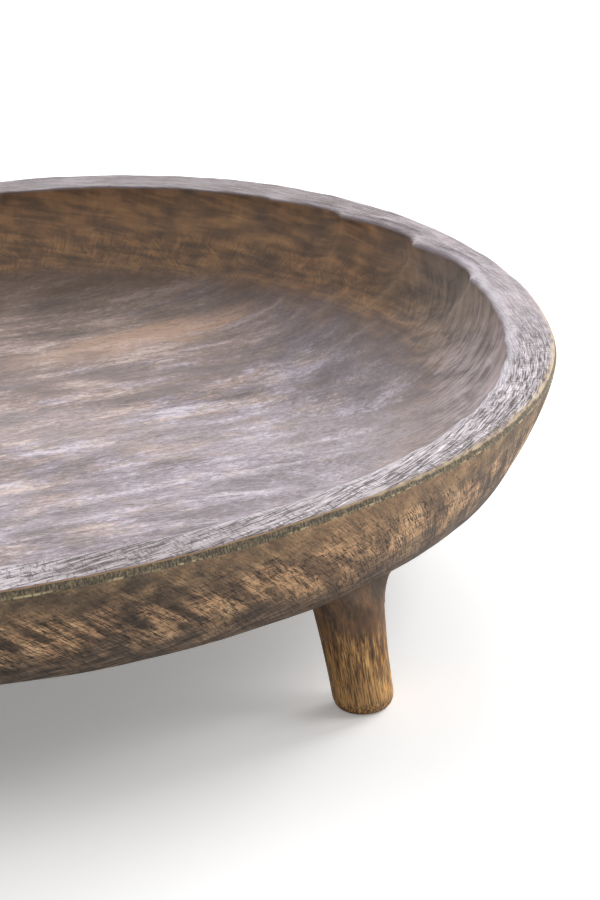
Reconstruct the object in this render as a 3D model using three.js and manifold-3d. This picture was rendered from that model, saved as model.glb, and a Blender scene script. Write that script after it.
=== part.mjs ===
// A wide, shallow round bowl, hand carved from one thick plank of hardwood, standing on four short
// splayed peg legs. Each leg is turned from its own piece with its grain upright, and is held by a
// glued beech dowel that runs from the leg's top into the thick wood under the bowl's wall.
// Millimetres, +Z up, the origin on the floor under the bowl's centre, the wood's grain near the X axis.
import * as THREE from "three";
import { mergeVertices } from "three/addons/utils/BufferGeometryUtils.js";
import Module from "manifold-3d";

// The bowl's body
const rimRadius = 200;
const rimWidth = 14.8;
const bodyDepth = 35.3; // from the rim down to the edge of the base
const wallLean = 19.4; // how far the base's edge lies inside the rim's edge
const wallCurve = 1.22; // 1 is a straight wall, 2 a quarter ellipse
const baseCrown = 1.5; // how much lower the base's middle lies than its edge
const floorThickness = 9.5;
const chamferDrop = 2.6;
const chamferFlare = 0.7;
const lipWidth = 1.8; // the worn edge between the rim and the hollow
const lipDrop = 0.6;
const hollowWallCurve = 8; // larger is a steeper wall and a flatter floor
const hollowCove = 1.6; // larger is a rounder foot to the wall

// The legs
const legCount = 4;
const firstLegTurn = 45; // degrees from the X axis
const legHeight = 39; // from the floor to the edge of the base
const legInset = 8.9; // from the base's edge to the leg's axis
const legSplay = 7.4; // degrees outward
const legRadius = 9;
const legTopRadius = 10.4;
const legFlare = 3.5; // how far the top spreads to meet the base
const flareHeight = 8;
const flareCurve = 1.5; // 1 is a straight flare, 2 a quarter ellipse
const footRound = 4.6;
const footFlat = 5.9; // radius of the flat that stands on the floor

// The glued dowels
const dowelRadius = 4;
const dowelInLeg = 14;
const dowelInBowl = 10;
const dowelBevel = 0.8;
const dowelEndRoom = 0.5; // air left at each end of the hole
const glueGap = 0.3; // between the pieces that are glued together

// The slow waves that hand cutting leaves: how many lobes go round the bowl, how many millimetres they
// swell, and the heading of one crest, in degrees from the X axis.
const outlineWaves = [
  { lobes: 2, swell: 2.2, crest: 64 },
  { lobes: 3, swell: 1.8, crest: -53 },
  { lobes: 4, swell: 0.5, crest: -35 },
];
const rimHeightWaves = [
  { lobes: 2, swell: 1.0, crest: 67 },
  { lobes: 3, swell: 2.5, crest: -50 },
];
const hollowWaves = [
  { lobes: 2, swell: 1.7, crest: 20 },
  { lobes: 3, swell: 1.6, crest: -32 },
  { lobes: 4, swell: 2.3, crest: 31 },
];

// How finely the curves are cut
const bowlSides = 112;
const wallSteps = 8;
const hollowSteps = 11;
const baseSteps = 4;
const legSides = 28;
const footSteps = 5;
const shankSteps = 3;
const flareSteps = 5;
const dowelSides = 16;

const weld = 1e-4; // points closer than this are one
const radians = THREE.MathUtils.degToRad;
const baseRadius = rimRadius - wallLean;
const baseZ = legHeight;
const rimZ = baseZ + bodyDepth;
const floorZ = baseZ - baseCrown + floorThickness;
const legCircle = baseRadius - legInset;
const lean = Math.tan(radians(legSplay)); // how far a leg moves outward as it comes down
const legBlankTop = legHeight + bodyDepth / 3; // a leg's height before its top is cut to fit the bowl

const wasm = await Module();
wasm.setup();

// What a set of waves adds at an angle in radians.
function handCut(angle, waves) {
  return waves.reduce(
    (sum, wave) => sum + wave.swell * Math.cos(wave.lobes * (angle - radians(wave.crest))),
    0,
  );
}

// A point of a superellipse's quarter, from (1, 0) at turn 0 to (0, 1) at turn 1.
function quarter(turn, power, upPower = power) {
  const swing = (turn * Math.PI) / 2;
  return new THREE.Vector2(
    Math.max(Math.cos(swing), 0) ** (2 / power),
    Math.max(Math.sin(swing), 0) ** (2 / upPower),
  );
}

// The bowl's outside at one angle, as (radius, height) points from the middle of the base up to the rim's
// outer edge. With grow it is that much larger all over.
function outsideSection(angle, grow = 0) {
  const edge = rimRadius + handCut(angle, outlineWaves) + grow;
  const top = rimZ + handCut(angle, rimHeightWaves) + grow;
  const base = baseRadius + grow;
  const bottom = baseZ - grow;
  const points = [];
  for (let step = 1; step < baseSteps; step++) {
    const share = step / baseSteps;
    points.push(new THREE.Vector2(base * share, bottom - baseCrown * (1 - share ** 2)));
  }
  const wallTop = top - chamferDrop;
  for (let step = 0; step <= wallSteps; step++) {
    const bend = quarter(1 - step / wallSteps, wallCurve);
    points.push(
      new THREE.Vector2(
        base + (edge + chamferFlare - base) * bend.x,
        wallTop - (wallTop - bottom) * bend.y,
      ),
    );
  }
  points.push(new THREE.Vector2(edge, top));
  return points;
}

// The flat rim and the hollow at one angle, from inside the rim's outer edge down to near the floor's middle.
function hollowSection(angle) {
  const top = rimZ + handCut(angle, rimHeightWaves);
  const mouth = rimRadius + handCut(angle, outlineWaves) - rimWidth + handCut(angle, hollowWaves);
  const wallTop = top - lipDrop;
  const points = [new THREE.Vector2(mouth + lipWidth, top)];
  for (let step = 0; step < hollowSteps; step++) {
    const bend = quarter(step / hollowSteps, hollowWallCurve, hollowCove);
    points.push(new THREE.Vector2(mouth * bend.x, wallTop - (wallTop - floorZ) * bend.y));
  }
  return points;
}

// A closed surface through one section at each angle, with a point on the axis at each end.
function loft(sectionAt, sides, bottomZ, topZ) {
  const positions = [0, 0, bottomZ];
  let rows = 0;
  for (let side = 0; side < sides; side++) {
    const angle = (side / sides) * 2 * Math.PI;
    const points = sectionAt(angle);
    rows = points.length;
    for (const point of points) {
      positions.push(point.x * Math.cos(angle), point.x * Math.sin(angle), point.y);
    }
  }
  positions.push(0, 0, topZ);
  const last = positions.length / 3 - 1;
  const at = (side, row) => 1 + (side % sides) * rows + row;
  const triangles = [];
  for (let side = 0; side < sides; side++) {
    triangles.push(0, at(side + 1, 0), at(side, 0));
    for (let row = 0; row < rows - 1; row++) {
      triangles.push(at(side, row), at(side + 1, row), at(side + 1, row + 1));
      triangles.push(at(side, row), at(side + 1, row + 1), at(side, row + 1));
    }
    triangles.push(at(side, rows - 1), at(side + 1, rows - 1), last);
  }
  const geometry = new THREE.BufferGeometry();
  geometry.setAttribute("position", new THREE.Float32BufferAttribute(positions, 3));
  geometry.setIndex(triangles);
  return geometry;
}

// A closed geometry as a solid that can be joined and cut.
function solidOf(geometry) {
  const bare = geometry.clone();
  bare.deleteAttribute("normal");
  bare.deleteAttribute("uv");
  const merged = mergeVertices(bare, weld);
  return new wasm.Manifold(
    new wasm.Mesh({
      numProp: 3,
      vertProperties: merged.attributes.position.array,
      triVerts: new Uint32Array(merged.index.array),
    }),
  );
}

// A solid back as a geometry with flat-shaded faces.
function geometryOf(solid) {
  const { vertProperties, triVerts } = solid.getMesh();
  const geometry = new THREE.BufferGeometry();
  geometry.setAttribute("position", new THREE.BufferAttribute(vertProperties, 3));
  geometry.setIndex(new THREE.BufferAttribute(triVerts, 1));
  const faceted = geometry.toNonIndexed();
  faceted.computeVertexNormals();
  return faceted;
}

// A leg before its top is fitted, at one angle round its axis from the outward side, as (radius, height)
// points: a foot with a rounded edge, a shank that swells gently, and a flare that spreads under the base
// but is worked off flush where it would stand out past the base's edge.
function legSection(angle) {
  const sideways = legCircle * Math.sin(angle);
  const toEdge = Math.sqrt(baseRadius ** 2 - sideways ** 2) - legCircle * Math.cos(angle);
  const points = [];
  for (let step = 0; step <= footSteps; step++) {
    const bend = quarter(step / footSteps, 2);
    points.push(
      new THREE.Vector2(footFlat + (legRadius - footFlat) * bend.y, footRound * (1 - bend.x)),
    );
  }
  for (let step = 1; step <= shankSteps; step++) {
    const share = step / shankSteps;
    points.push(
      new THREE.Vector2(
        legRadius + (legTopRadius - legRadius) * share ** 2,
        footRound + (legHeight - flareHeight - footRound) * share,
      ),
    );
  }
  for (let step = 1; step <= flareSteps; step++) {
    const bend = quarter(1 - step / flareSteps, flareCurve);
    const spread = legTopRadius + legFlare * (1 - bend.y);
    points.push(
      new THREE.Vector2(
        Math.max(legTopRadius, Math.min(spread, toEdge)),
        legHeight - flareHeight * (1 - bend.x),
      ),
    );
  }
  points.push(new THREE.Vector2(points.at(-1).x, legBlankTop));
  return points;
}

// Puts a geometry that stands on a leg's foot, outward side along X, at a turn round the bowl.
function atLeg(geometry, turn) {
  return geometry.translate(legCircle + legHeight * lean, 0, 0).rotateZ(radians(turn));
}

// A round rod along the leg's leaning axis, with its lengths measured from the base's edge level.
function rod(radius, inLeg, inBowl, bevel = 0) {
  const points = [new THREE.Vector2(0, -inLeg), new THREE.Vector2(radius - bevel, -inLeg)];
  if (bevel > 0) {
    points.push(new THREE.Vector2(radius, bevel - inLeg), new THREE.Vector2(radius, inBowl - bevel));
  }
  points.push(new THREE.Vector2(radius - bevel, inBowl), new THREE.Vector2(0, inBowl));
  return new THREE.LatheGeometry(points, dowelSides)
    .rotateX(Math.PI / 2)
    .rotateY(-radians(legSplay))
    .translate(-legHeight * lean, 0, legHeight);
}

const bowlWood = new THREE.MeshStandardMaterial({ color: 0x6a5748, roughness: 0.6, metalness: 0 });
const legWood = new THREE.MeshStandardMaterial({ color: 0x6b4c2c, roughness: 0.5, metalness: 0 });
const dowelWood = new THREE.MeshStandardMaterial({ color: 0xc9a877, roughness: 0.75, metalness: 0 });

const group = new THREE.Group();

function addPiece(name, geometry, material) {
  const mesh = new THREE.Mesh(geometry, material);
  mesh.name = name;
  group.add(mesh);
}

const bowlRoom = solidOf(
  loft(
    (angle) => outsideSection(angle, glueGap),
    bowlSides,
    baseZ - baseCrown - glueGap,
    rimZ,
  ),
);
const leanOut = new THREE.Matrix4().makeShear(0, 0, 0, 0, -lean, 0);
const blank = loft(legSection, legSides, 0, legBlankTop).applyMatrix4(leanOut);
const dowel = rod(dowelRadius, dowelInLeg, dowelInBowl, dowelBevel);
const dowelHole = rod(dowelRadius + glueGap, dowelInLeg + dowelEndRoom, dowelInBowl + dowelEndRoom);

let bowl = solidOf(
  loft(
    (angle) => [...outsideSection(angle), ...hollowSection(angle)],
    bowlSides,
    baseZ - baseCrown,
    floorZ,
  ),
);

const places = ["back_right", "back_left", "front_left", "front_right"];
for (let index = 0; index < legCount; index++) {
  const turn = firstLegTurn + (360 / legCount) * index;
  const place = places[index] ?? `${index + 1}`;
  const hole = solidOf(atLeg(dowelHole.clone(), turn));
  const leg = solidOf(atLeg(blank.clone(), turn)).subtract(bowlRoom).subtract(hole);
  bowl = bowl.subtract(hole);
  addPiece(`leg_${place}`, geometryOf(leg), legWood);
  addPiece(`dowel_${place}`, atLeg(dowel.clone(), turn), dowelWood);
}
addPiece("bowl", geometryOf(bowl), bowlWood);

export default group;
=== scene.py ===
import math

import bpy
import numpy as np
from mathutils import Matrix


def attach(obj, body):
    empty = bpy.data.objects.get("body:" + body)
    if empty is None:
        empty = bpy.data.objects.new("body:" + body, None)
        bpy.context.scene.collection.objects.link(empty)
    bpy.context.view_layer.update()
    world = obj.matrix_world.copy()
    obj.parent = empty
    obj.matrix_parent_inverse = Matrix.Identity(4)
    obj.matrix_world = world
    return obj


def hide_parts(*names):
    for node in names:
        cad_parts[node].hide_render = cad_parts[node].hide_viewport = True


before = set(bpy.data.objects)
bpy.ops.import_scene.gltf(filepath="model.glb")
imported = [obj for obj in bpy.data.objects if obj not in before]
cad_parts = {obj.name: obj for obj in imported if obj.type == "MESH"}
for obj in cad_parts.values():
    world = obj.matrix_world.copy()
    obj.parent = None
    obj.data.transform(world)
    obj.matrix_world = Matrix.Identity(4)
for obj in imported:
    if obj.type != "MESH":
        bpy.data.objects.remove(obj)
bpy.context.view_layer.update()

# THE CARVED BOWL
# One plank, sawn round, its outside shaped with a rasp and its hollow scooped with a broad gouge. The rim
# is left flat, with a narrow chamfer cut round its outer edge. Open-grained wood, stained and waxed.
MM = 0.001
RIM_RADIUS = 200 * MM
RIM_WIDTH = 14.8 * MM
BASE_Z = 39 * MM
RIM_Z = BASE_Z + 35.3 * MM
BASE_RADIUS = RIM_RADIUS - 19.4 * MM
WALL_CURVE = 1.22
BASE_CROWN = 1.5 * MM
FLOOR_Z = BASE_Z - BASE_CROWN + 9.5 * MM
CHAMFER_DROP = 2.6 * MM
CHAMFER_FLARE = 0.7 * MM
EDGE_ROUND = 0.28 * MM  # how far the small round between the flat rim and the chamfer drops
EDGE_ROUND_WIDTH = 0.6 * MM
LIP_WIDTH = 1.8 * MM
LIP_DROP = 0.6 * MM
HOLLOW_WALL_CURVE = 8
HOLLOW_COVE = 1.6
COVE_SHARE = 0.8  # where the hollow's floor ends and its wall starts, as a share of the mouth's radius

# The hand-cut round: how many waves go round, how far each swells, and where it has a crest, in degrees.
OUTLINE_WAVES = ((2, 2.2 * MM, 64), (3, 1.8 * MM, -53), (4, 0.5 * MM, -35))
RIM_HEIGHT_WAVES = ((2, 1.0 * MM, 67), (3, 2.5 * MM, -50))
HOLLOW_WAVES = ((2, 1.7 * MM, 20), (3, 1.6 * MM, -32), (4, 2.3 * MM, 31))

# Worn stretches: their heading, and how far from it the wear is full and where it ends, in degrees.
WORN_LIP = (8, 18, 50)
# Along the worn edge the rim's edge is also painted cream, partly wear and partly painted highlight.
WORN_EDGE = (-22, 16, 42)

# The gouge's scoops down the hollow's wall. Angles are in degrees, and a full scoop has the strength 1.
DEEP_CUTS = ((16.9, 1.0), (30.7, 0.85), (43.3, 0.55))  # where each deep scoop starts, and its strength
DEEP_END = 53.4
SHALLOW_COUNT = 34
SHALLOW_JITTER = 1.3
SHALLOW_STRENGTH = (0.08, 0.2)
SCOOP_SWING = 6.2 * MM
SCOOP_LEAN = 0.65
BORDER_ROUNDING = 0.05
SCOOP_SEED = 11
ROUND_STEPS = 704


def hand_cut(angle, waves):
    """The sum of the waves, each its swell times the cosine of its lobes times the angle from its crest."""
    return sum(swell * np.cos(lobes * (angle - math.radians(crest))) for lobes, swell, crest in waves)


def lumps(points, size, seed):
    """A smooth unevenness from -1 to 1: a random height at each corner of a lattice of cubes of the given
    size, blended between the eight corners round a point with a smooth step along each axis."""
    count = 24
    heights = np.random.default_rng(seed).uniform(-1, 1, (count, count, count))
    spot = points / size
    cell = np.floor(spot).astype(int)
    share = spot - cell
    share = share * share * (3 - 2 * share)
    total = np.zeros(points.shape[:-1])
    for corner in np.ndindex(2, 2, 2):
        weight = np.prod(np.where(corner, share, 1 - share), axis=-1)
        index = (cell + corner) % count
        total += weight * heights[index[..., 0], index[..., 1], index[..., 2]]
    return total


def gouge_cuts(angle, seed):
    """Scoops side by side round the bowl: three deep ones at the far right, and shallow ones whose borders
    are even steps jittered at random. Gives, at each angle, how deep the scoop is, nearly 0 at its rounded
    borders and 1 where it is deepest, along a parabola that leans to the right, and how strong it is."""
    chance = np.random.default_rng(seed)
    starts, deep_strengths = zip(*DEEP_CUTS)
    even = np.linspace(DEEP_END, starts[0] + 360, SHALLOW_COUNT + 1)
    even[1:-1] += chance.uniform(-SHALLOW_JITTER, SHALLOW_JITTER, SHALLOW_COUNT - 1)
    borders = np.radians(np.append(starts, even))
    strengths = np.append(deep_strengths, chance.uniform(*SHALLOW_STRENGTH, SHALLOW_COUNT))
    turned = (angle - borders[0]) % (2 * math.pi) + borders[0]
    number = np.clip(np.searchsorted(borders, turned, side="right") - 1, 0, len(strengths) - 1)
    share = (turned - borders[number]) / (borders[number + 1] - borders[number])
    depth = 1 - (2 * share**SCOOP_LEAN - 1) ** 2
    return np.sqrt(depth**2 + BORDER_ROUNDING), strengths[number]


def smooth(value, low, high):
    """A smooth step from 0 at low to 1 at high: three times the square of the share of the way, less twice
    its cube."""
    share = np.clip((value - low) / (high - low), 0, 1)
    return share * share * (3 - 2 * share)


def facing(angle, heading, narrow, wide):
    """How much a side of the bowl faces a heading in degrees: 1 within narrow degrees, 0 beyond wide."""
    off = np.abs((angle - math.radians(heading) + math.pi) % (2 * math.pi) - math.pi)
    return 1 - smooth(off, math.radians(narrow), math.radians(wide))


def bowl_grid():
    """Rows of rings from the middle of the hollow's floor, up its wall, over the rim and its chamfer, down
    the outside and in under the base. The hollow's height at a share s of the mouth's radius is a
    superellipse, depth times (1 - s^8)^(1/1.6); the outside is one too. Zone counts the parts: 0 floor,
    1 foot of the wall, 2 lip, 3 rim's edge, 4 chamfer's foot, 5 base's edge, 6 middle of the base."""
    angle = np.linspace(0, 2 * math.pi, ROUND_STEPS, endpoint=False)
    edge = RIM_RADIUS + hand_cut(angle, OUTLINE_WAVES)
    top = RIM_Z + hand_cut(angle, RIM_HEIGHT_WAVES)
    mouth = edge - RIM_WIDTH + hand_cut(angle, HOLLOW_WAVES)
    worn_lip = facing(angle, *WORN_LIP)
    lip_width = LIP_WIDTH * (1 + worn_lip)
    lip_drop = LIP_DROP * (1 + 1.4 * worn_lip)
    still = np.zeros_like(angle)
    radius, height, zone = [], [], []

    def ring(r, z, number):
        radius.append(r + still)
        height.append(z + still)
        zone.append(number)

    wall_top = top - lip_drop
    depth = wall_top - FLOOR_Z
    for share in np.linspace(0, 1, 36)[1:]:
        reach = share * COVE_SHARE
        ring(mouth * reach, wall_top - depth * (1 - reach**HOLLOW_WALL_CURVE) ** (1 / HOLLOW_COVE), share)
    cove_turn = math.acos(COVE_SHARE ** (HOLLOW_WALL_CURVE / 2))
    for share in np.linspace(0, 1, 34)[1:]:
        turn = cove_turn * (1 - share)
        across = math.cos(turn) ** (2 / HOLLOW_WALL_CURVE)
        ring(mouth * across, wall_top - depth * math.sin(turn) ** (2 / HOLLOW_COVE), 1 + share)
    for share in np.linspace(0, 1, 6)[1:]:
        turn = share * math.pi / 2
        ring(mouth + lip_width * (1 - math.cos(turn)), wall_top + lip_drop * math.sin(turn), 2 + 0.12 * share)
    for share in np.linspace(0, 1, 14)[1:]:
        ring(mouth + lip_width + (edge - EDGE_ROUND_WIDTH - mouth - lip_width) * share, top, 2.12 + 0.8 * share)
    ring(edge - 0.22 * MM, top - 0.06 * MM, 2.96)
    ring(edge, top - EDGE_ROUND, 3)
    for share in np.linspace(0, 1, 6)[1:]:
        ring(edge + CHAMFER_FLARE * share, top - EDGE_ROUND - (CHAMFER_DROP - EDGE_ROUND) * share, 3 + share)
    flare_edge = edge + CHAMFER_FLARE
    chamfer_z = top - CHAMFER_DROP
    for share in np.linspace(0, 1, 34)[1:]:
        turn = (1 - share**1.1) * math.pi / 2
        out = math.cos(math.pi / 2 - turn) ** (2 / WALL_CURVE)
        down = math.sin(math.pi / 2 - turn) ** (2 / WALL_CURVE)
        ring(BASE_RADIUS + (flare_edge - BASE_RADIUS) * out, chamfer_z - (chamfer_z - BASE_Z) * down, 4 + share)
    for share in np.linspace(1, 0, 14)[1:-1]:
        ring(BASE_RADIUS * share, BASE_Z - BASE_CROWN * (1 - share**2), 6 - share)
    return angle, np.array(radius), np.array(height), np.array(zone)


def carve(angle, radius, height, zone):
    """Cuts the tool's marks into the rings: scoops down the hollow's wall that push it outward and reach
    the lip, shallow dents over its floor, and flats and a slight waver outside and round the edges. Each is
    how far it swells, times its lumps, times a mask of the zones where it comes in and goes out. Also gives
    the ridges between scoops: 0.55 less how deep the scoop is, times its strength, on the wall alone."""
    zone = zone[:, None] + 0 * radius
    around = np.stack([radius * np.cos(angle), radius * np.sin(angle), height], axis=-1)
    scoop, strength = gouge_cuts(angle + 0 * radius, SCOOP_SEED)
    on_wall = smooth(zone, 1.0, 1.7) * (1 - smooth(zone, 2.1, 2.95))
    radius = radius + SCOOP_SWING * (scoop - 0.5) * strength * on_wall
    on_floor = 1 - smooth(zone, 1.0, 1.5)
    along = around * np.array([0.25, 1, 1])
    height = height + on_floor * (0.3 * MM * lumps(along, 9 * MM, 21) + 0.5 * MM * lumps(around, 40 * MM, 22))
    in_cove = smooth(zone, 0.7, 1.0) * (1 - smooth(zone, 1.1, 1.6))
    height = height - 0.6 * MM * scoop * strength * in_cove
    on_rim = smooth(zone, 2.0, 2.1) * (1 - smooth(zone, 2.9, 3.0))
    height = height + on_rim * 0.12 * MM * lumps(around, 7 * MM, 23)
    lip = smooth(zone, 1.8, 1.98) * (1 - smooth(zone, 2.1, 2.2))
    radius = radius + lip * 0.3 * MM * lumps(around, 3.2 * MM, 24)
    height = height - lip * 0.5 * MM * scoop * strength
    belly = smooth(zone, 4.4, 4.8) * (1 - smooth(zone, 5.0, 5.1))
    height = height + belly * 0.5 * MM * lumps(around, 24 * MM, 32)
    outside = smooth(zone, 3.9, 4.15) * (1 - smooth(zone, 4.9, 5.3))
    flats = lumps(around, 20 * MM, 25) + 0.6 * lumps(around, 8 * MM, 26)
    radius = radius + outside * 0.2 * MM * flats
    arris = smooth(zone, 2.8, 3.0) * (1 - smooth(zone, 3.3, 4.0))
    height = height + arris * (0.15 * MM * lumps(around, 4 * MM, 27) + 0.3 * MM * lumps(around, 14 * MM, 29))
    height = height - arris * 0.5 * MM * facing(angle, *WORN_EDGE)
    chamfer_foot = smooth(zone, 3.3, 4.0) * (1 - smooth(zone, 4.0, 4.5))
    height = height + chamfer_foot * (0.35 * MM * lumps(around, 16 * MM, 30) + 0.12 * MM * lumps(around, 3 * MM, 31))
    under = smooth(zone, 5.05, 5.3)
    height = height + under * 0.3 * MM * lumps(around, 15 * MM, 28)
    ridge = (0.55 - scoop) * strength * smooth(zone, 1.05, 1.4)
    return radius, height, ridge


def grid_mesh(name, rows, first, last):
    """A closed mesh from rows of rings: four-sided faces between neighbouring rings, round and round, and
    a fan to the points first and last at each end. The rings run so that the faces look outward."""
    count, sides = rows.shape[:2]
    points = np.concatenate([rows.reshape(-1, 3), [first, last]])
    row, side = np.meshgrid(np.arange(count - 1), np.arange(sides), indexing="ij")
    beside = (side + 1) % sides
    near, far = row * sides, (row + 1) * sides
    quads = np.stack([near + side, near + beside, far + beside, far + side], -1)
    quads = quads.reshape(-1, 4)[:, ::-1]
    ring = np.arange(sides)
    start = np.stack([ring, np.roll(ring, -1), np.full(sides, count * sides)], -1)
    base = (count - 1) * sides
    end = np.stack([base + np.roll(ring, -1), base + ring, np.full(sides, count * sides + 1)], -1)
    faces = quads.tolist() + start.tolist() + end.tolist()
    mesh = bpy.data.meshes.new(name)
    mesh.from_pydata(points.tolist(), [], faces)
    mesh.polygons.foreach_set("use_smooth", np.ones(len(faces), bool))
    mesh.update()
    return mesh


def mark(mesh, name, kind, values):
    """Gives every point of the mesh a value of its own under a name, for its material to read."""
    layer = mesh.attributes.new(name, kind, "POINT")
    layer.data.foreach_set("value" if kind == "FLOAT" else "vector", np.asarray(values, np.float32).ravel())


def show(mesh, material, node):
    """Puts a finished mesh into the scene in place of a CAD node."""
    piece = bpy.data.objects.new(mesh.name, mesh)
    bpy.context.scene.collection.objects.link(piece)
    mesh.materials.append(material)
    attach(piece, "root")
    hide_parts(node)


class Grain:
    """An output socket in a wood's node tree. Arithmetic on it adds Math nodes to the tree."""

    def __init__(self, tree, socket=None):
        self.tree = tree
        self.socket = socket

    def node(self, kind, settings=None, inputs=None, output=0):
        """Adds a node of a kind: its settings or a ramp's stops first, then its sockets' values or links."""
        made = self.tree.nodes.new(kind)
        for name, value in (settings or {}).items():
            if name == "stops":
                ramp = made.color_ramp
                for number, (place, colour) in enumerate(value):
                    stop = ramp.elements[number] if number < 2 else ramp.elements.new(place)
                    stop.position = place
                    stop.color = (*colour, 1)
            else:
                setattr(made, name, value)
        for name, value in (inputs or {}).items():
            if isinstance(value, Grain):
                self.tree.links.new(value.socket, made.inputs[name])
            else:
                made.inputs[name].default_value = value
        return Grain(self.tree, made.outputs[output]) if made.outputs else None

    def math(self, operation, *values):
        """One step of arithmetic on sockets or plain numbers."""
        return self.node("ShaderNodeMath", {"operation": operation}, dict(enumerate(values)))

    def __add__(self, other):
        return self.math("ADD", self, other)

    def __radd__(self, other):
        return self.math("ADD", other, self)

    def __sub__(self, other):
        return self.math("SUBTRACT", self, other)

    def __rsub__(self, other):
        return self.math("SUBTRACT", other, self)

    def __mul__(self, other):
        return self.math("MULTIPLY", self, other)

    def __rmul__(self, other):
        return self.math("MULTIPLY", other, self)

    def __pow__(self, other):
        return self.math("POWER", self, other)

    def step(self, low, high):
        """A smooth step from 0 at low to 1 at high; from 1 to 0 where high is the lower one."""
        return self.node("ShaderNodeMapRange", {"interpolation_type": "SMOOTHSTEP"}, {0: self, 1: low, 2: high})

    def between(self, low, high, soft):
        """1 between low and high and 0 beyond them, with soft borders."""
        return self.step(low - soft, low + soft) * self.step(high + soft, high - soft)

    def attribute(self, name, output):
        """What the mesh gives its points under a name: a number from Fac, or a place from Vector."""
        return self.node("ShaderNodeAttribute", {"attribute_name": name}, output=output)

    def noise_of(self, size, detail, roughness, distortion, seed):
        """Smooth noise about 0.5 in lumps of a size in mm along each axis of this place."""
        lengths = tuple(length * MM for length in size)
        scaled = self.node("ShaderNodeVectorMath", {"operation": "DIVIDE"}, {0: self, 1: lengths})
        return self.node("ShaderNodeTexNoise", {"noise_dimensions": "4D"}, {
            "Vector": scaled, "W": seed, "Scale": 1.0, "Detail": detail, "Roughness": roughness,
            "Distortion": distortion,
        })

    def tint(self, stops):
        """The colour on a ramp of (place, colour) stops."""
        return self.node("ShaderNodeValToRGB", {"stops": stops}, {"Fac": self})

    def toward(self, colour, share):
        """This colour mixed towards another by a share."""
        other = colour if isinstance(colour, Grain) else (*colour, 1)
        return self.node("ShaderNodeMix", {"data_type": "RGBA"}, {0: share, 6: self, 7: other}, output=2)


def empty_material(name):
    """A material with no nodes yet, and the Grain that its first nodes are made from."""
    material = bpy.data.materials.new(name)
    material.use_nodes = True
    material.node_tree.nodes.clear()
    return material, Grain(material.node_tree)


def paint(red, green, blue):
    """A colour given as 0 to 255 on a screen, as the amounts of light that it sends back."""
    share = np.array([red, green, blue]) / 255
    return tuple(np.where(share > 0.04045, ((share + 0.055) / 1.055) ** 2.4, share / 12.92).tolist())


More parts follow.
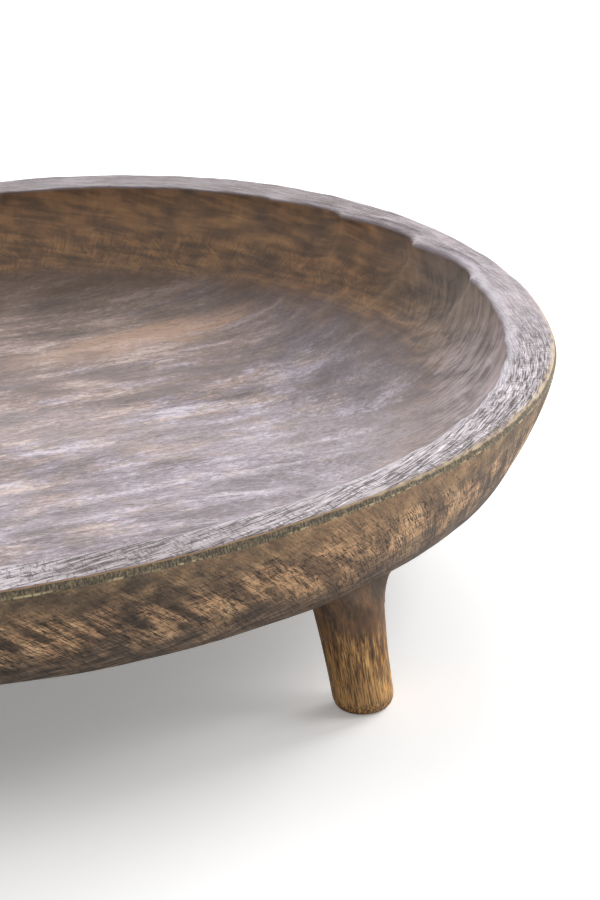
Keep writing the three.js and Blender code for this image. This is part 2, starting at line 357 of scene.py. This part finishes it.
def bowl_wood():
    """Streaks along the strokes on the hollow's floor, soft blotches on its wall, lines and cross ticks on
    the rim, and on the outside tan patches and dark bands under fine rasp marks. The floor is painted darkest
    where the hollow turns up at the back, as painted shade, and the lip and edges are painted pale, partly
    rubbed and partly as painted highlights."""
    material, start = empty_material("stained_bowl_wood")
    zone = start.attribute("zone", "Fac")
    flow = start.attribute("flow", "Vector")
    ring = start.attribute("ring", "Vector")
    slant = start.attribute("slant", "Vector")
    worn_lit_edge = start.attribute("worn_lit_edge", "Fac")
    ridge = start.attribute("ridge", "Fac")
    place = start.node("ShaderNodeTexCoord", output="Object")
    right = start.node("ShaderNodeSeparateXYZ", {}, {"Vector": place}) * (1 / RIM_RADIUS)
    back = start.node("ShaderNodeSeparateXYZ", {}, {"Vector": place}, 1) * (1 / RIM_RADIUS)
    on_right = (right - back * 0.1).step(0.66, 0.86)
    behind = (back + right * 0.7).step(0.1, 0.8)

    # The hollow's floor: brown at the back left, and bluish grey at the front right, partly painted sheen.
    cloud = flow.noise_of((30, 15, 17), detail=3, roughness=0.5, distortion=0.8, seed=1.0)
    band = flow.noise_of((60, 7, 9), detail=3, roughness=0.5, distortion=0.8, seed=2.0)
    streak = flow.noise_of((9, 2.6, 4), detail=5, roughness=0.65, distortion=1.5, seed=3.0)
    fibre = flow.noise_of((2.6, 1.6, 2), detail=2, roughness=0.6, distortion=0.8, seed=4.0)
    dash = flow.noise_of((5, 1.7, 2), detail=2, roughness=0.5, distortion=1.5, seed=14.0).step(0.56, 0.62)
    hue = flow.noise_of((22, 10, 10), detail=2, roughness=0.5, distortion=1.0, seed=16.0)
    pore = flow.noise_of((1.5, 0.8, 1.2), detail=2, roughness=0.6, distortion=0.6, seed=18.0)
    floor_tone = cloud * 0.45 + band * 0.33 + streak * 0.28 + fibre * 0.24 + (pore - 0.5) * 0.17
    warm_floor = floor_tone.tint((
        (0.54, paint(64, 48, 42)), (0.6, paint(97, 77, 70)),
        (0.68, paint(134, 112, 104)), (0.78, paint(188, 166, 158)),
    ))
    sheen_grey_floor = floor_tone.tint((
        (0.54, paint(58, 44, 48)), (0.6, paint(91, 75, 82)),
        (0.68, paint(125, 111, 120)), (0.78, paint(181, 171, 184)),
    ))
    floor_colour = warm_floor.toward(sheen_grey_floor, (right * 1.4 - back + (hue - 0.5) * 4).step(0, 0.9))
    # Painted shade: the floor is darker and browner where it turns up at the back, and greyer at the back right,
    # where its sheen falls off.
    shaded_back_floor = behind * zone.step(0.45, 0.95)
    beside_floor = right.step(0.3, 0.7)
    floor_colour = floor_colour.toward(paint(78, 65, 53), shaded_back_floor * (0.6 - beside_floor * 0.4))
    floor_colour = floor_colour.toward(paint(82, 76, 84), shaded_back_floor * beside_floor * 0.45)
    # Painted sheen: a pale lilac band across the front of the floor.
    floor_colour = floor_colour.toward(paint(198, 186, 196), back.between(-0.46, -0.2, 0.12) * 0.14)
    ragged_edge = (cloud - 0.5) * 4
    # Painted sheen: a pale pinkish band across the middle of the floor, ragged at its edges.
    sheen_band = ((back + right * 0.25 - 0.045) * 9) ** 2 + ragged_edge
    floor_colour = floor_colour.toward(paint(206, 190, 194), sheen_band.step(1.6, 0) * 0.16)
    pale_patch = ((right - 0.3) * 4.8) ** 2 + ((back - right * 0.42 - 0.3) * 12) ** 2 + ragged_edge
    floor_colour = floor_colour.toward(paint(208, 166, 134), pale_patch.step(1.4, 0) * 0.36)
    # Painted shade: a darker patch on the floor right of the middle, towards the back.
    shade_patch = ((right - 0.22) * 3.4) ** 2 + ((back - 0.26) * 8) ** 2 + ragged_edge
    floor_colour = floor_colour.toward(paint(92, 72, 68), shade_patch.step(1.4, 0) * 0.5)
    floor_colour = floor_colour.toward(paint(66, 52, 50), dash * (0.35 + back.step(0, -0.5) * 0.2))

    # The hollow's wall: soft orange-brown blotches, cuts at the right with painted sheen, and strokes at its foot.
    soft = ring.noise_of((20, 20, 3), detail=2, roughness=0.5, distortion=0.6, seed=5.0)
    blotch = ring.noise_of((12, 12, 8), detail=3, roughness=0.5, distortion=0.8, seed=6.0)
    scrape = ring.noise_of((2.4, 2.4, 11), detail=2, roughness=0.5, distortion=0.6, seed=10.0)
    wall_tone = soft * 0.45 + blotch * 0.45 + scrape * 0.1
    wall_colour = wall_tone.tint((
        (0.38, paint(86, 67, 52)), (0.48, paint(119, 91, 67)),
        (0.57, paint(150, 114, 81)), (0.68, paint(178, 138, 97)),
    ))
    smear = slant.noise_of((3, 3, 18), detail=3, roughness=0.6, distortion=0.8, seed=17.0)
    cut_tone = smear * 0.6 + blotch * 0.4
    brown_cut = cut_tone.tint(((0.4, paint(92, 81, 74)), (0.6, paint(156, 141, 130))))
    grey_sheen_cut = cut_tone.tint(((0.4, paint(114, 101, 104)), (0.6, paint(190, 175, 179))))
    # Painted sheen: the cuts are painted greyer and lilac towards the front, and paler towards the lip.
    cut_colour = brown_cut.toward(grey_sheen_cut, (back + (hue - 0.5) * 0.6).step(0.3, -0.1))
    cut_colour = cut_colour.toward(paint(190, 176, 168), zone.step(1.5, 1.95) * 0.22)
    wall_colour = wall_colour.toward(cut_colour, on_right * zone.step(0.8, 1.25) * 0.9)
    # Painted light and shade on the scoops: the ridges between them lighter, the deepest parts just under the lip
    # darker.
    wall_colour = wall_colour.toward(paint(170, 136, 102), ridge.step(0.02, 0.6) * 0.4)
    wall_colour = wall_colour.toward(paint(64, 52, 46), ridge.step(-0.08, -0.4) * zone.step(1.5, 1.95) * 0.5)
    patch = ring.noise_of((9, 9, 9), detail=2, roughness=0.5, distortion=0.5, seed=7.0)
    upright_stroke = ring.noise_of((0.8, 0.8, 7), detail=2, roughness=0.6, distortion=0.4, seed=8.0)
    slanting_stroke = slant.noise_of((0.8, 0.8, 7), detail=2, roughness=0.6, distortion=0.4, seed=9.0)
    turning = patch.step(0.48, 0.52)
    stroke = upright_stroke.step(0.5, 0.62) * turning + slanting_stroke.step(0.5, 0.62) * (1 - turning)
    in_cove = zone.between(0.82, 1.5, 0.12)
    wall_colour = wall_colour.toward(paint(58, 48, 46), stroke * in_cove * 0.45)
    # Painted shade in the crease where the wall meets the floor at the back.
    wall_colour = wall_colour.toward(paint(66, 54, 46), zone.between(0.98, 1.14, 0.08) * behind * 0.5)

    # The flat rim: lilac-grey, partly painted sheen, with dark and pale lines round it and dark ticks across it.
    in_front = back.step(0.1, -0.3)
    beside = (right - back * 0.3).step(0.55, 0.85)
    rim_patch = ring.noise_of((16, 16, 5), detail=3, roughness=0.5, distortion=0.3, seed=11.0)
    wide_line = ring.noise_of((9, 9, 0.85), detail=3, roughness=0.6, distortion=0.4, seed=12.0)
    thin_line = ring.noise_of((9, 9, 0.5), detail=3, roughness=0.6, distortion=0.3, seed=15.0)
    rim_line = wide_line * (1 - beside) + thin_line * beside
    rim_tick = ring.noise_of((0.7, 0.7, 3.4), detail=2, roughness=0.5, distortion=0.8, seed=13.0)
    line = rim_line.step(0.52, 0.57) * (0.3 + in_front * 0.7)
    pale_line = rim_line.step(0.46, 0.38) * (0.25 + in_front * 0.75)
    tick = rim_tick.step(0.54, 0.59) * rim_patch.step(0.38, 0.48) * (0.3 + in_front * 0.7)
    rim_colour = rim_patch.tint((
        (0.36, paint(150, 135, 139)), (0.5, paint(128, 113, 117)), (0.64, paint(102, 88, 92)),
    ))
    rim_colour = rim_colour.toward(paint(84, 72, 74), back.step(0.4, 0.95) * 0.7)
    # Painted sheen: the rim paler at the right and at the front left, and bluish pale lines as painted glints.
    rim_colour = rim_colour.toward(paint(200, 190, 198), beside * 0.24 + right.step(0.3, 0) * in_front * 0.66)
    rim_colour = rim_colour.toward(paint(226, 216, 226), pale_line * (0.28 + beside * 0.52))
    rim_colour = rim_colour.toward(paint(54, 40, 36), line * 0.86)
    rim_colour = rim_colour.toward(paint(52, 38, 32), tick * 0.78)

    # The outside: smoother near the chamfer, then tan patches and dark bands, and level streaks at the base.
    down = zone - 4
    figure = slant.noise_of((8, 8, 15), detail=3, roughness=0.5, distortion=1.0, seed=21.0)
    ribbon = ring.noise_of((12, 12, 5), detail=3, roughness=0.6, distortion=0.6, seed=22.0)
    hatch = slant.noise_of((0.8, 0.8, 4.5), detail=2, roughness=0.5, distortion=1.3, seed=23.0)
    crackle = slant.noise_of((2.2, 2.2, 5), detail=3, roughness=0.6, distortion=1.4, seed=27.0)
    cross_line = ring.noise_of((6, 6, 0.8), detail=2, roughness=0.5, distortion=1.4, seed=28.0).step(0.56, 0.6)
    crack = crackle.between(0.475, 0.525, 0.014)
    hatch_line = hatch.step(0.535, 0.565) * 0.85 + crack * 0.65 + cross_line * 0.65
    bark = figure * 0.7 + ribbon * 0.3
    outside_colour = bark.tint((
        (0.4, paint(76, 61, 49)), (0.47, paint(124, 99, 77)),
        (0.54, paint(212, 168, 126)), (0.63, paint(255, 212, 164)),
    ))
    smooth_top = ring.noise_of((9, 9, 6), detail=3, roughness=0.5, distortion=0.5, seed=24.0).tint((
        (0.38, paint(100, 84, 67)), (0.5, paint(136, 113, 88)), (0.64, paint(180, 146, 106)),
    ))
    speck = ring.noise_of((0.5, 0.5, 1.2), detail=2, roughness=0.6, distortion=0.0, seed=31.0)
    smooth_top = smooth_top.toward(paint(66, 52, 40), speck.step(0.5, 0.58) * 0.35)
    smooth_top = smooth_top.toward(paint(78, 70, 66), right.step(0.25, -0.25) * 0.3)
    wander = ring.noise_of((14, 14, 8), detail=2, roughness=0.5, distortion=0.0, seed=25.0) * 0.5 - 0.25
    outside_colour = outside_colour.toward(smooth_top, (down + wander).step(0.44, 0.22) * 0.9)
    # Painted light: the outside is painted lighter and tan round the right, where the light falls.
    lit_right_side = right.between(0.5, 0.74, 0.18) * (0.36 + bark.step(0.42, 0.6) * 0.3)
    outside_colour = outside_colour.toward(paint(236, 186, 136), lit_right_side)
    base_tone = ring.noise_of((12, 12, 1.6), detail=3, roughness=0.6, distortion=0.6, seed=26.0).tint((
        (0.4, paint(76, 65, 56)), (0.5, paint(112, 95, 81)), (0.64, paint(160, 135, 110)),
    ))
    outside_colour = outside_colour.toward(base_tone, (down + wander).step(0.5, 0.76) * 0.9)
    hatch_depth = 0.3 + (down + wander).between(0.3, 0.75, 0.12) * 0.4
    outside_colour = outside_colour.toward(paint(46, 35, 28), hatch_line * hatch_depth)

    # The chamfer: speckled, and rubbed pale in stretches along its foot.
    chamfer_colour = speck.tint(((0.4, paint(66, 58, 46)), (0.52, paint(98, 87, 69)), (0.64, paint(146, 129, 100))))
    ragged = ring.noise_of((1.4, 1.4, 1.4), detail=2, roughness=0.6, distortion=0.0, seed=32.0).step(0.44, 0.56)
    stretch = ring.noise_of((14, 14, 14), detail=2, roughness=0.5, distortion=0.0, seed=33.0).step(0.4, 0.6)
    pale_edge = zone.between(3.76, 4.02, 0.08) * ragged * stretch
    chamfer_colour = chamfer_colour.toward(paint(200, 180, 138), pale_edge)

    # All of them in their zones, with the lip and the rim's edge painted pale, partly rubbed, partly painted
    # highlight.
    colour = floor_colour.toward(wall_colour, zone.step(0.9, 1.3))
    on_rim = zone.step(1.97, 2.05) * zone.step(3.0, 2.94)
    colour = colour.toward(rim_colour, on_rim)
    # Painted highlight: the lip painted a pale bluish white, strongest at the right, partly rubbed wear.
    lip = zone.between(1.99, 2.13, 0.06) * (0.5 + stretch * 0.5)
    colour = colour.toward(paint(188, 180, 190), lip * (0.2 + (right - back * 0.35).step(0.64, 0.8) * 0.45))
    colour = colour.toward(outside_colour, zone.step(3.95, 4.03))
    colour = colour.toward(chamfer_colour, zone.between(3.0, 4.0, 0.03))
    # The rim's edge painted golden and cream, partly worn wood and partly painted highlight.
    colour = colour.toward(paint(182, 144, 100), zone.between(2.98, 3.05, 0.03))
    rubbed = ring.noise_of((5, 5, 2.4), detail=3, roughness=0.6, distortion=0.3, seed=34.0).step(0.4, 0.58)
    colour = colour.toward(paint(206, 184, 150), zone.between(2.9, 3.2, 0.08) * worn_lit_edge * rubbed * 0.85)
    under = place.noise_of((30, 2.5, 6), detail=4, roughness=0.6, distortion=0.3, seed=41.0)
    under_colour = under.tint(((0.4, paint(76, 62, 50)), (0.6, paint(126, 104, 82))))
    colour = colour.toward(under_colour, zone.step(4.97, 5.04))

    # The relief and the sheen.
    outside = zone.step(3.95, 4.05)
    on_wall = zone.between(1.1, 2.0, 0.15)
    grooves = line * 0.8 + tick * 0.8 - pale_line * 0.5
    floor_relief = streak * 0.9 + band * 0.5 + fibre * 0.3 - dash * 0.2
    wall_relief = soft * 0.8 * (1 - on_right * 0.6) + smear * 0.7 * on_right + scrape * 0.3
    wall_relief = wall_relief - stroke * 0.5 * in_cove
    relief = floor_relief * zone.step(1.3, 0.9) + wall_relief * on_wall
    relief = relief - grooves * on_rim + (ribbon * 0.7 - hatch_line * 0.8) * outside
    bump = start.node("ShaderNodeBump", {}, {"Strength": 0.7, "Distance": 0.35 * MM, "Height": relief})
    rough = 0.46 + shaded_back_floor * 0.14 + on_wall * 0.06 + outside * 0.12 - on_rim * 0.14 + line * on_rim * 0.3
    shader = start.node("ShaderNodeBsdfPrincipled", {}, {
        "Base Color": colour, "Roughness": rough, "Normal": bump, "IOR": 1.5, "Specular IOR Level": 0.5,
    })
    start.node("ShaderNodeOutputMaterial", {}, {"Surface": shader})
    return material


def slanting_place(angle, radius, height, zone):
    """Where a point would be on a plain drum that is twisted as it rises, so that marks which run up the
    drum slant across the bowl: near the front they fall towards the right, and at the right they stand up.
    In the hollow they slant the other way, and the way up is measured along the hollow's floor."""
    front = facing(angle, -88, 32, 88)
    inside = zone[:, None] < 2
    below = np.where(inside, 1.15 * RIM_RADIUS - radius - height, RIM_Z - height)
    turned = angle - below * np.where(inside, -0.9, 0.14 + 0.96 * front) / RIM_RADIUS
    return np.stack([RIM_RADIUS * np.cos(turned), RIM_RADIUS * np.sin(turned), -below], axis=-1)


def flowing_place(angle, radius, height):
    """A point measured along and across the gouge's strokes on the hollow's floor. They run nearly along
    the grain, 15 degrees from X, and curve up on the right by a parabola: a bend of 6 times the square of
    how far they are past a line 90 mm beyond the middle."""
    along_grain, bend, bend_start = math.tan(math.radians(15)), 6, 90 * MM
    x, y = radius * np.cos(angle), radius * np.sin(angle)
    beyond = np.maximum(x - bend_start, 0)
    rise = along_grain * x + beyond**2 * bend
    level = np.cos(np.arctan(along_grain + 2 * bend * beyond))
    return np.stack([x / level**0.5, (y - rise) * level, height], axis=-1)


def ring_place(angle, radius, height):
    """A point's place round a plain drum, with the length along the bowl's section from the middle as Z.
    A slow wave tilts the lines that run round: on the right of the rim they drift a little inward."""
    step = np.hypot(np.diff(radius, axis=0), np.diff(height, axis=0))
    length = np.concatenate([0 * radius[:1], np.cumsum(step, axis=0)])
    tilt = 0.18 * RIM_RADIUS * np.sin(angle + math.radians(60))
    x, y = RIM_RADIUS * np.cos(angle) + 0 * radius, RIM_RADIUS * np.sin(angle) + 0 * radius
    return np.stack([x, y, length + tilt], axis=-1)


turn, ring_radius, ring_height, zone = bowl_grid()
ring_radius, ring_height, ridge = carve(turn, ring_radius, ring_height, zone)
bowl_rings = np.stack([ring_radius * np.cos(turn), ring_radius * np.sin(turn), ring_height], axis=-1)
bowl_mesh = grid_mesh("carved_bowl", bowl_rings, (0, 0, ring_height[0].mean()), (0, 0, BASE_Z - BASE_CROWN))
mark(bowl_mesh, "zone", "FLOAT", np.append((zone[:, None] + 0 * ring_radius).ravel(), [0, 6]))
mark(bowl_mesh, "ridge", "FLOAT", np.append(ridge.ravel(), [0, 0]))
mark(bowl_mesh, "worn_lit_edge", "FLOAT", np.append((facing(turn, *WORN_EDGE) + 0 * ring_radius).ravel(), [0, 0]))
for name, places in (
    ("flow", flowing_place(turn, ring_radius, ring_height)),
    ("ring", ring_place(turn, ring_radius, ring_height)),
    ("slant", slanting_place(turn, ring_radius, ring_height, zone)),
):
    ends = [places[0].mean(axis=0), places[-1].mean(axis=0)]
    mark(bowl_mesh, name, "FLOAT_VECTOR", np.concatenate([places.reshape(-1, 3), ends]))
show(bowl_mesh, bowl_wood(), "bowl")

# THE FOUR PEG LEGS
# Short pegs turned from the same wood with the grain upright, splayed outward, rounded at the foot and
# spread at the top where they are glued under the base. Stained darker, with the bowl's shadow painted
# round the top, and painted light and dark specks round the foot.
LEG_INSET = 8.9 * MM
LEG_CIRCLE = BASE_RADIUS - LEG_INSET
LEG_LEAN = math.tan(math.radians(7.4))
LEG_RADIUS = 9 * MM
LEG_TOP_RADIUS = 10.4 * MM
LEG_FLARE = 3.5 * MM
FLARE_HEIGHT = 8 * MM
FLARE_CURVE = 1.5
FLARE_SOFTNESS = 0.4 * MM  # how softly the flare gives way where the base's edge leaves it no room
EDGE_REACH = 0.3 * MM  # how far past the base's edge the flare may spread at its top
EDGE_ROOM = 2.2 * MM  # and how much further it may at its lower end
FOOT_ROUND = 4.6 * MM
FOOT_FLAT = 5.9 * MM
GLUED_DEPTH = 1.2 * MM
GRAIN_STEP = 100 * MM  # each leg shows a stretch of the same grain this much further along
LEG_SIDES = 120


def leg_rings():
    """Level rings up a leg that stands on its foot with its outward side along +X. The foot's edge is a
    quarter ellipse, the shank swells with the square of the height, and the flare is a quarter
    superellipse that spreads about as far as the base's edge at most: the smaller of both, softly blended."""
    angle = np.linspace(0, 2 * math.pi, LEG_SIDES, endpoint=False)
    to_edge = np.sqrt(BASE_RADIUS**2 - (LEG_CIRCLE * np.sin(angle)) ** 2) - LEG_CIRCLE * np.cos(angle)
    radius, height = [], []
    for share in np.linspace(0, 1, 5)[1:-1]:
        radius.append(FOOT_FLAT * share + 0 * angle)
        height.append(0)
    for bend in np.linspace(0, math.pi / 2, 14):
        radius.append(FOOT_FLAT + (LEG_RADIUS - FOOT_FLAT) * math.sin(bend) + 0 * angle)
        height.append(FOOT_ROUND * (1 - math.cos(bend)))
    for share in np.linspace(0, 1, 30)[1:]:
        radius.append(LEG_RADIUS + (LEG_TOP_RADIUS - LEG_RADIUS) * share**2 + 0 * angle)
        height.append(FOOT_ROUND + (BASE_Z - FLARE_HEIGHT - FOOT_ROUND) * share)
    for rise in np.linspace(0, 1, 22)[1:]:
        spread = LEG_FLARE * (1 - (1 - rise**FLARE_CURVE) ** (1 / FLARE_CURVE))
        room = to_edge + EDGE_REACH - LEG_TOP_RADIUS + EDGE_ROOM * (1 - rise) ** 1.5
        softened = -np.logaddexp(-spread / FLARE_SOFTNESS, -room / FLARE_SOFTNESS) * FLARE_SOFTNESS
        radius.append(LEG_TOP_RADIUS + softened + FLARE_SOFTNESS * math.log(2) * (1 - rise))
        height.append(BASE_Z - FLARE_HEIGHT * (1 - rise))
    radius.append(radius[-1])
    height.append(BASE_Z + GLUED_DEPTH)
    height = np.array(height)[:, None] + 0 * angle
    radius = np.array(radius)
    around = np.stack([radius * np.cos(angle), radius * np.sin(angle), height * 0.3], axis=-1)
    uneven = smooth(height, 0.5 * MM, 4 * MM)
    radius = radius + uneven * (0.22 * MM * lumps(around, 6 * MM, 41) + 0.1 * MM * lumps(around, 2.5 * MM, 42))
    centre = (BASE_Z - height) * LEG_LEAN
    return np.stack([centre + radius * np.cos(angle), radius * np.sin(angle), height], axis=-1)


def leg_wood():
    """Upright streaks and pores, the bowl's shadow painted darker round the top, and painted light with dark
    specks round the foot, which also stand for painted contact shade at its lower edge.
    """
    material, start = empty_material("stained_leg_wood")
    height = start.attribute("height", "Fac")
    along = start.attribute("along", "Vector")
    streak = along.noise_of((1.1, 1.1, 12), detail=4, roughness=0.6, distortion=0.5, seed=1.0)
    fine = along.noise_of((0.36, 0.36, 5), detail=2, roughness=0.6, distortion=0.4, seed=2.0)
    patch = along.noise_of((5, 5, 8), detail=3, roughness=0.5, distortion=0.5, seed=3.0)
    speck = along.noise_of((0.6, 0.6, 0.8), detail=2, roughness=0.5, distortion=0.0, seed=4.0)
    tone = streak * 0.75 + patch * 0.25
    colour = tone.tint((
        (0.4, paint(90, 61, 36)), (0.47, paint(146, 104, 60)),
        (0.54, paint(204, 154, 91)), (0.64, paint(246, 200, 128)),
    ))
    # Painted light: the foot is painted lighter where light falls on it.
    colour = colour.toward(paint(252, 196, 126), height.step(18 * MM, 4 * MM) * 0.5)
    colour = colour.toward(paint(46, 30, 18), fine.step(0.49, 0.57) * 0.68)
    # Painted shadow of the bowl: the top of the leg is painted grey and dark, with a ragged border.
    edge = (patch - 0.5) * 24 * MM
    painted_bowl_shadow = (height + edge).step(20 * MM, 30 * MM)
    colour = colour.toward(patch.tint(((0.42, paint(74, 61, 52)), (0.6, paint(118, 84, 60)))), painted_bowl_shadow * 0.85)
    # Dark specks round the foot, which also stand for painted contact shade at its lower edge.
    foot = height.step(5.5 * MM, 1 * MM)
    colour = colour.toward(paint(48, 34, 24), foot * speck.step(0.44, 0.56) * 0.85)
    rough = 0.42 + streak * 0.15
    relief = fine.step(0.5, 0.6) * -0.6 + streak * 0.6
    bump = start.node("ShaderNodeBump", {}, {"Strength": 0.5, "Distance": 0.3 * MM, "Height": relief})
    shader = start.node("ShaderNodeBsdfPrincipled", {}, {
        "Base Color": colour, "Roughness": rough, "Normal": bump, "IOR": 1.5,
    })
    start.node("ShaderNodeOutputMaterial", {}, {"Surface": shader})
    return material


peg_wood = leg_wood()
standing_leg = leg_rings()
standing = standing_leg[:, ::-1]
straight_leg = standing - (BASE_Z - standing[..., 2:]) * np.array([LEG_LEAN, 0, 0])
for index, corner in enumerate(("back_right", "back_left", "front_left", "front_right")):
    heading = math.radians(45 + 90 * index)
    turned = np.array(Matrix.Rotation(heading, 3, "Z"))
    rings = (standing_leg + np.array([LEG_CIRCLE, 0, 0])) @ turned.T
    ends = [rings[0].mean(axis=0), rings[-1].mean(axis=0)]
    leg_mesh = grid_mesh("peg_leg_" + corner, rings[:, ::-1], *ends)
    mark(leg_mesh, "height", "FLOAT", np.append(rings[:, ::-1, 2].ravel(), [0, BASE_Z]))
    straight = straight_leg + [0, 0, index * GRAIN_STEP]
    ends = [straight[0].mean(axis=0), straight[-1].mean(axis=0)]
    mark(leg_mesh, "along", "FLOAT_VECTOR", np.concatenate([straight.reshape(-1, 3), ends]))
    show(leg_mesh, peg_wood, "leg_" + corner)

# THE HIDDEN DOWELS
# Pale beech rods, glued half into each leg and half into the bowl. Nothing of them shows, so they keep
# their CAD solids and only need their own bare wood.


def dowel_wood():
    """Pale, close-grained, with faint streaks along the rod."""
    material, start = empty_material("bare_dowel_wood")
    place = start.node("ShaderNodeTexCoord", output="Object")
    streak = place.noise_of((1, 1, 14), detail=3, roughness=0.5, distortion=0.3, seed=1.0)
    colour = streak.tint(((0.35, paint(176, 142, 98)), (0.65, paint(214, 184, 138))))
    shader = start.node("ShaderNodeBsdfPrincipled", {}, {"Base Color": colour, "Roughness": 0.6 + streak * 0.2})
    start.node("ShaderNodeOutputMaterial", {}, {"Surface": shader})
    return material


beech = dowel_wood()
for name, cad_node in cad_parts.items():
    if name.startswith("dowel"):
        cad_node.data.materials.clear()
        cad_node.data.materials.append(beech)

# THE WHITE STUDIO TABLE
# A wide, matt white board in a white room, under soft light from behind and from the sides, as for a
# catalogue. The camera sees the board nearly pure white, and the bowl's shadow stays on it.
BOARD_REACH = 6.0
ROOM_LIGHT = 0.3
floor_mesh = bpy.data.meshes.new("white_board")
corners = [(x * BOARD_REACH, y * BOARD_REACH, 0) for x, y in ((-1, -1), (1, -1), (1, 1), (-1, 1))]
floor_mesh.from_pydata(corners, [], [(0, 1, 2, 3)])
floor = bpy.data.objects.new("white_board", floor_mesh)
bpy.context.scene.collection.objects.link(floor)
board, start = empty_material("white_board")
seen = start.node("ShaderNodeLightPath", output="Is Camera Ray")
grey = 0.8 + seen * 0.2  # it sends back 0.8 of the light, and the camera sees it white
lift = seen * 0.22  # and a little brighter than that
matt = start.node("ShaderNodeBsdfPrincipled", {}, {
    "Base Color": grey, "Roughness": 1.0, "Specular IOR Level": 0.0, "Emission Color": lift, "Emission Strength": 1.0,
})
start.node("ShaderNodeOutputMaterial", {}, {"Surface": matt})
floor_mesh.materials.append(board)

world = bpy.data.worlds.new("white_room")
bpy.context.scene.world = world
world.use_nodes = True
world.node_tree.nodes.clear()
sky = Grain(world.node_tree)
camera_ray = sky.node("ShaderNodeLightPath", output="Is Camera Ray")
glossy_ray = sky.node("ShaderNodeLightPath", output="Is Glossy Ray")
clear_ray = sky.node("ShaderNodeLightPath", output="Is Transmission Ray")
strength = ROOM_LIGHT + (1 - ROOM_LIGHT) * (camera_ray + glossy_ray + clear_ray).step(0, 1)
background = sky.node("ShaderNodeBackground", {}, {"Color": (1, 1, 1, 1), "Strength": strength})
sky.node("ShaderNodeOutputWorld", {}, {"Surface": background})

# Each window: its name, its heading and height in degrees, its share of the light, and whether the wax
# mirrors it.
for name, heading, rise, share, mirrored in (
    ("window_behind", 90, 20, 1.08, False),
    ("window_behind_bright", 90, 20, 0.13, True),
    ("window_behind_right", 45, 20, 0.84, False),
    ("window_right", 0, 40, 0.3, True),
    ("window_left", 180, 40, 0.16, True),
):
    lamp = bpy.data.lights.new(name, "SUN")
    lamp.energy = share * math.pi
    lamp.angle = math.radians(35)
    lamp_object = bpy.data.objects.new(name, lamp)
    leaning = Matrix.Rotation(math.radians(90 - rise), 4, "Y")
    lamp_object.matrix_world = Matrix.Rotation(math.radians(heading), 4, "Z") @ leaning
    lamp_object.visible_glossy = mirrored
    bpy.context.scene.collection.objects.link(lamp_object)

# THE PHOTOGRAPHER'S CAMERA
# A long lens nearly a metre in front of the bowl and a little to its right. It looks down by a little more
# than a fifth of a right angle, and is tipped slightly to one side.
LENS_LENGTH = 124.476  # in mm
CAMERA_PLACE = (0.0910, -0.9469, RIM_Z + 0.3103)
TURNED, LOOKING_DOWN, TIPPED = -1.4, 20.307, -3.671  # in degrees
camera_data = bpy.data.cameras.new("long_lens")
camera_data.sensor_width = 36
camera_data.lens = LENS_LENGTH
camera_data.clip_end = 50
camera = bpy.data.objects.new("long_lens", camera_data)
stand = Matrix.Translation(CAMERA_PLACE)
aim = Matrix.Rotation(math.radians(TURNED), 4, "Z") @ Matrix.Rotation(math.radians(90 - LOOKING_DOWN), 4, "X")
camera.matrix_world = stand @ aim @ Matrix.Rotation(math.radians(TIPPED), 4, "Z")
bpy.context.scene.collection.objects.link(camera)
bpy.context.scene.camera = camera
bpy.context.scene.view_settings.view_transform = "Standard"
